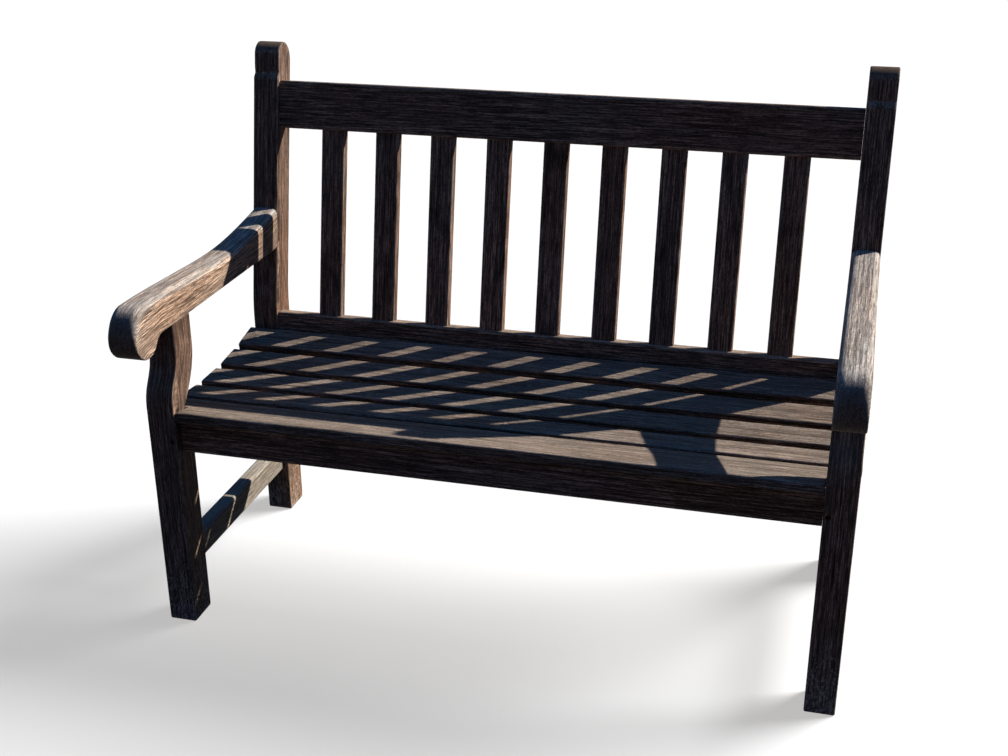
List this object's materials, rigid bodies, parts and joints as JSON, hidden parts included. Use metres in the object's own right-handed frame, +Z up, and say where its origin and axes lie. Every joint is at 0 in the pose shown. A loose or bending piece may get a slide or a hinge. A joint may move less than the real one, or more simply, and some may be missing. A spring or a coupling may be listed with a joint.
{
  "type": "garden bench",
  "caption": "Slatted hardwood garden bench with a raked slatted back, a dished seat and scrolled arms, held by pegged mortise and tenon joints.",
  "frame": {"origin": "on the ground under the middle of the whole bench", "axes": "+X along the bench towards its right end as seen from the front, +Y from front to back, +Z up"},
  "size_m": [1.206, 0.6998, 0.9544],
  "materials": {
    "frame_wood": "weathered",
    "seat_wood": "weathered",
    "peg_wood": "weathered end grain",
    "screw_steel": "plain"
  },
  "bodies": {
    "root": {"front_leg_left": "frame_wood", "front_leg_right": "frame_wood", "rear_leg_left": "frame_wood", "rear_leg_right": "frame_wood", "side_seat_rail_left": "frame_wood", "side_seat_rail_right": "frame_wood", "side_stretcher_left": "frame_wood", "side_stretcher_right": "frame_wood", "front_rail": "frame_wood", "rear_seat_rail": "frame_wood", "centre_seat_bearer": "frame_wood", "top_rail": "frame_wood", "lower_back_rail": "frame_wood", "back_slat_1": "frame_wood", "back_slat_2": "frame_wood", "back_slat_3": "frame_wood", "back_slat_4": "frame_wood", "back_slat_5": "frame_wood", "back_slat_6": "frame_wood", "back_slat_7": "frame_wood", "back_slat_8": "frame_wood", "back_slat_9": "frame_wood", "arm_left": "seat_wood", "arm_right": "seat_wood", "seat_slat_1": "seat_wood", "seat_slat_2": "seat_wood", "seat_slat_3": "seat_wood", "seat_slat_4": "seat_wood", "seat_slat_5": "seat_wood", "front_rail_peg_left": "peg_wood", "front_rail_peg_right": "peg_wood", "rear_seat_rail_peg_left": "peg_wood", "rear_seat_rail_peg_right": "peg_wood", "side_rail_front_peg_left": "peg_wood", "side_rail_front_peg_right": "peg_wood", "side_rail_rear_peg_left": "peg_wood", "side_rail_rear_peg_right": "peg_wood", "stretcher_front_peg_left": "peg_wood", "stretcher_front_peg_right": "peg_wood", "stretcher_rear_peg_left": "peg_wood", "stretcher_rear_peg_right": "peg_wood", "top_rail_peg_left": "peg_wood", "top_rail_peg_right": "peg_wood", "lower_back_rail_peg_left": "peg_wood", "lower_back_rail_peg_right": "peg_wood", "arm_plug_left": "peg_wood", "arm_plug_right": "peg_wood", "arm_screw_left": "screw_steel", "arm_screw_right": "screw_steel"}
  },
  "joints": []
}
